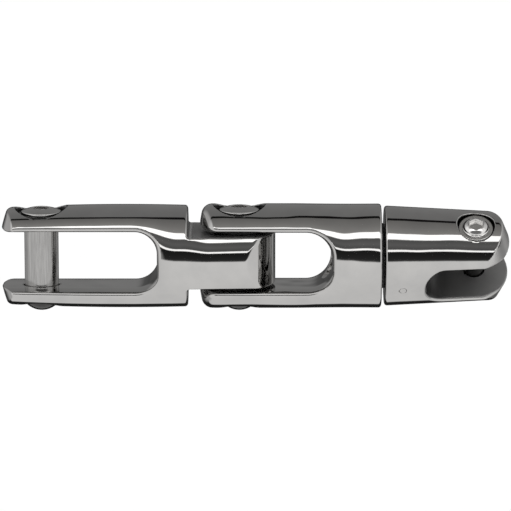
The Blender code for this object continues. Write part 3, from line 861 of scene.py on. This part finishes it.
def on_jaw_tip(nodes):
    """1 on the end walls of the jaw's two arms, and 0 elsewhere."""
    x, y, z = nodes.split()
    depth, height = turned_back(nodes, y, z, JAW_ROLL)
    outside = nodes.span(nodes.math("ABSOLUTE", height), 0.0063, 0.0067, 0.0, 1.0)
    after = nodes.span(x, 0.1300, 0.1310, 0.0, 1.0)
    from_pin = nodes.length(nodes.math("SUBTRACT", x, 0.1331), depth)
    clear = nodes.span(from_pin, 0.0072, 0.0078, 0.0, 1.0)
    return nodes.product(outside, after, clear, under_jaw_skin(nodes, x, y, z))


def tang_face_shade_mask(nodes):
    """1 on the two flats of the tang, and 0 elsewhere. Shade is painted there."""
    x, _, z = nodes.split()
    high = nodes.math("ABSOLUTE", z)
    over = nodes.span(high, 0.0077, 0.0079, 0.0, 1.0)
    under = nodes.span(high, 0.0081, 0.0083, 1.0, 0.0)
    return nodes.product(over, under, nodes.span(x, 0.0458, 0.0464, 0.0, 1.0))


# Each link steel paints shade on its washer recess wall.
ANCHOR_STEEL = mirror_steel(
    "polished_anchor_steel",
    wave=0.25,
    recess={"centre": 0.0, "radius": 0.00795, "floor": 0.0120, "roll": 0.0},
    # Painted shade on the tang's flats, where they sit between the middle link's arms.
    inside=tang_face_shade_mask,
)
MIDDLE_STEEL = mirror_steel(
    "polished_middle_steel",
    wave=0.90,
    recess={"centre": 0.0608, "radius": 0.00795, "floor": 0.0125, "roll": 0.0},
)
JAW_STEEL = mirror_steel(
    "polished_jaw_steel",
    wave=0.35,
    recess={"centre": 0.1331, "radius": 0.00575, "floor": 0.0110, "roll": JAW_ROLL},
    # Painted shade on the jaw's slot faces, darkest at the slot's closed end.
    inside=jaw_slot_shade_mask,
    tones=(0.05, 0.42),
    satin=on_jaw_tip,
)
# The anchor and joint pins' domed heads are darkened below the links by foot, a painted shade.
PIN = turned_steel("turned_pin_steel", 0.46, 0.33, 0.12, 0.20, ALONG_PIN, foot=0.16)
# The chain pin sits in the jaw's slot; its dark colour is painted shade.
SLOT_SHADED_PIN = turned_steel("pin_steel_slot_painted_shade", 0.22, 0.16, 0.06, 0.12)
# Near-black washers under the big screws: painted shade for the dark crescents round the screw heads.
SHADE_DARK_WASHER = turned_steel("washer_steel_dark_painted_shade", 0.05, 0.03, 0.20, 0.30)
LOCK = turned_steel("lock_pin_steel", 0.54, 0.50, 0.08, 0.14)
SCREW = turned_steel("screw_steel_bright", 0.60, 0.54, 0.05, 0.10)
DISC = turned_steel("polished_disc_steel", 0.86, 0.80, 0.06, 0.11)
BRONZE = clouded(
    "bearing_bronze_worn", 1.0, 220.0,
    dark=(0.42, 0.25, 0.10), light=(0.60, 0.38, 0.17), smooth=0.28, worn=0.45,
)
POLYMER = clouded(
    "dark_polymer_matt", 0.0, 420.0,
    dark=(0.018, 0.018, 0.02), light=(0.04, 0.04, 0.043), smooth=0.45, worn=0.65,
)

for node, look in (
    ("tang_bush", BRONZE),
    ("stud_bush", BRONZE),
    ("stud_head_washer", BRONZE),
    ("swivel_face_washer", POLYMER),
    ("joint_washer_upper", POLYMER),
    ("joint_washer_lower", POLYMER),
):
    for holder in frame["nodes"][node].material_slots:
        holder.material = look

# ---------------------------------------------------------------- pieces

LINK_STEP = 0.45

piece("anchor_link_polished", anchor_link, (-12.3, -16.0, -16.0), (72.0, 16.0, 16.0), LINK_STEP,
      "anchor", "anchor_link", ANCHOR_STEEL)
piece("middle_link_polished", middle_link, (48.4, -16.2, -16.2), (104.5, 16.2, 16.2), LINK_STEP,
      "middle", "middle_link", MIDDLE_STEEL)
piece("chain_jaw_polished", chain_jaw, (105.2, -15.5, -15.5), (143.8, 15.5, 15.5), LINK_STEP,
      "jaw", "chain_jaw", JAW_STEEL)

# The two big pins, each with its washer and screw. top is the upper face of the washer.
for body, prefix, at, top in (
    ("anchor", "anchor", ANCHOR_PIN_X, 13.3),
    ("middle", "joint", JOINT_PIN_X, 13.8),
):
    pin = dome_pin(
        at, shank=10.5, top=top - 1.4, head=13.0, head_radius=6.8, seat=12.1, end=16.95,
        bore=5.6, bore_end=0.4, neck=10.5, neck_top=0.0,
    )
    low, high = (at - 6.6, -6.6, -17.0), (at + 6.6, 6.6, top - 1.3)
    piece(prefix + "_pin_turned", pin, low, high, 0.32,
          body, prefix + "_pin", PIN)
    # The washer's near-black colour is painted shade.
    ring = washer(at, hole=6.2, outer=15.4, low=top - 1.2, high=top)
    low, high = (at - 7.8, -7.8, top - 1.2), (at + 7.8, 7.8, top)
    piece(prefix + "_pin_washer_flat", ring, low, high, 0.22,
          body, prefix + "_pin_washer", SHADE_DARK_WASHER)
    screw = button_screw(
        at, head=12.4, low=top + 0.05, height=1.95, shank=5.0, across=5.0, socket=1.4,
        turn=0.5, foot=0.0, end=1.5,
    )
    low, high = (at - 6.8, -6.8, 1.4), (at + 6.8, 6.8, top + 2.2)
    piece(prefix + "_pin_screw_button", screw, low, high, 0.22,
          body, prefix + "_pin_screw", SCREW)

pin = dome_pin(
    CHAIN_PIN_X, shank=7.6, top=10.9, head=9.8, head_radius=5.2, seat=10.6, end=14.6,
    bore=4.2, bore_end=4.2, neck=6.0, neck_top=3.5,
)
piece("chain_pin_turned", pin, (128.1, -5.0, -14.7), (138.1, 5.0, 11.0), 0.28,
      "jaw", "chain_pin", SLOT_SHADED_PIN)
ring = washer(CHAIN_PIN_X, hole=4.6, outer=10.6, low=11.1, high=12.3)
piece("chain_pin_washer_flat", ring, (127.7, -5.4, 11.1), (138.5, 5.4, 12.3), 0.18,
      "jaw", "chain_pin_washer", DISC)
screw = button_screw(
    CHAIN_PIN_X, head=7.3, low=12.35, height=1.9, shank=3.7, across=3.9, socket=1.4,
    turn=0.0, foot=0.6, end=4.7,
)
piece("chain_pin_screw_button", screw, (128.7, -4.4, 4.6), (137.5, 4.4, 14.4), 0.15,
      "jaw", "chain_pin_screw", DISC)
piece("swivel_stud_turned", stud, (89.5, -6.8, -6.8), (115.7, 6.8, 6.8), 0.24,
      "jaw", "swivel_stud", PIN)
piece("stud_lock_pin_turned", lock_pin, (109.7, -15.0, -1.1), (111.9, 8.1, 1.1), 0.16,
      "jaw", "stud_lock_pin", LOCK)

# ---------------------------------------------------------------- floor, light and camera

FLOOR_Z = -0.16
FLOOR_HALF = 30.0

# Brightness of what the steel reflects, by the angle round the X axis in degrees. 0 is level
# and towards the camera's side, 90 is straight up and -90 straight down.
BANDS = (
    (-180.0, 0.08),
    (-165.0, 0.08),
    (-155.0, 0.02),
    (-129.0, 0.015),
    (-124.0, 0.85),
    (-60.0, 0.90),
    (-3.0, 0.95),
    (-1.0, 0.06),
    (3.0, 0.03),
    (12.0, 0.022),
    (20.4, 0.016),
    (21.0, 1.90),
    (23.8, 1.90),
    (24.6, 0.11),
    (35.0, 0.17),
    (47.5, 0.12),
    (49.0, 2.20),
    (62.0, 2.20),
    (63.5, 0.36),
    (80.0, 0.27),
    (100.2, 0.20),
    (100.9, 0.008),
    (107.0, 0.008),
    (107.8, 0.23),
    (140.0, 0.25),
    (168.0, 0.24),
    (173.0, 0.10),
    (180.0, 0.07),
)
WARM_FROM, WARM_TO = 62.5, 103.0

# Brightness beside the object, by the angle round the Z axis. 0 is towards the camera's side.
SIDE_BANDS = (
    (-180.0, 0.50),
    (-110.0, 0.55),
    (-85.0, 0.90),
    (79.0, 0.90),
    (86.0, 0.60),
    (127.0, 0.50),
    (180.0, 0.50),
)
MIX_FACTOR, MIX_FIRST, MIX_SECOND, MIX_RESULT = 0, 6, 7, 2

side = FLOOR_HALF
mesh = bpy.data.meshes.new("floor")
mesh.from_pydata(
    [(-side, -side, FLOOR_Z), (side, -side, FLOOR_Z), (side, side, FLOOR_Z), (-side, side, FLOOR_Z)],
    [],
    [(0, 1, 2, 3)],
)
floor = bpy.data.objects.new("floor", mesh)
bpy.context.scene.collection.objects.link(floor)
made, shader, nodes = shader_of("floor_white", 0.0)
shader.inputs["Base Color"].default_value = (0.93, 0.93, 0.93, 1.0)
shader.inputs["Roughness"].default_value = 1.0
shader.inputs["Specular IOR Level"].default_value = 0.0
mesh.materials.append(made)
floor.visible_glossy = False


def part_of_turn(degrees):
    return (degrees + 180.0) / 360.0


def turn_of(nodes, opposite, adjacent):
    """The angle of a direction as a share of a whole turn, 0.5 where it points along adjacent."""
    angle = nodes.math("ARCTAN2", opposite, adjacent)
    return nodes.math("DIVIDE", nodes.math("ADD", angle, math.pi), 2.0 * math.pi)


def studio_world():
    """Even white light. Only glossy reflections see the bands."""
    world = bpy.data.worlds.new("studio")
    world.use_nodes = True
    world.cycles.sampling_method = "NONE"
    nodes = Nodes(world.node_tree)
    out = world.node_tree.nodes["World Output"]
    soft = world.node_tree.nodes["Background"]
    soft.inputs["Color"].default_value = (1.0, 1.0, 1.0, 1.0)
    soft.inputs["Strength"].default_value = 1.09
    across, away, height = nodes.split("Generated")
    toward = nodes.product(away, -1.0)

    stops = []
    for degrees, level in BANDS:
        warm = 0.02 if WARM_FROM < degrees < WARM_TO else 0.004
        stops.append((part_of_turn(degrees), grey(level, warm)))
    colour = nodes.ramp(turn_of(nodes, height, toward), stops)

    turn = turn_of(nodes, across, toward)
    sides = [(part_of_turn(degrees), grey(level, 0.004)) for degrees, level in SIDE_BANDS]
    beside = nodes.ramp(turn, sides)

    # A dark strip below level at the right, solid from 84 to 122 degrees round.
    strip = nodes.product(
        nodes.span(turn, 0.724, 0.734, 0.0, 1.0),
        nodes.span(turn, 0.838, 0.850, 1.0, 0.0),
        nodes.span(height, -0.27, -0.23, 0.0, 1.0),
        nodes.span(height, -0.16, -0.10, 1.0, 0.0),
    )
    beside = nodes.scaled(beside, nodes.span(strip, 0.0, 1.0, 1.0, 0.03))

    share = nodes.span(nodes.math("ABSOLUTE", across), 0.45, 0.65, 0.0, 1.0)
    both = nodes.new("ShaderNodeMix", data_type="RGBA")
    nodes.link(share, both.inputs[MIX_FACTOR])
    nodes.link(colour, both.inputs[MIX_FIRST])
    nodes.link(beside, both.inputs[MIX_SECOND])
    studio = nodes.new("ShaderNodeBackground")
    nodes.link(both.outputs[MIX_RESULT], studio.inputs["Color"])
    path = nodes.new("ShaderNodeLightPath")
    mix = nodes.new("ShaderNodeMixShader")
    nodes.link(path.outputs["Is Glossy Ray"], mix.inputs[0])
    nodes.link(soft.outputs[0], mix.inputs[1])
    nodes.link(studio.outputs[0], mix.inputs[2])
    nodes.link(mix.outputs[0], out.inputs["Surface"])
    return world


bpy.context.scene.world = studio_world()
bpy.context.scene.view_settings.view_transform = "Standard"

TARGET = Vector((0.0658, 0.0, 0.0))
RISE = math.radians(11.5)
DISTANCE = 1.2
data = bpy.data.cameras.new("camera")
data.lens = 274.8
data.sensor_width = 36.0
camera = bpy.data.objects.new("camera", data)
camera.location = TARGET + Vector((0.0, -math.cos(RISE), math.sin(RISE))) * DISTANCE
camera.rotation_euler = (math.radians(90.0) - RISE, 0.0, 0.0)
bpy.context.scene.collection.objects.link(camera)
bpy.context.scene.camera = camera
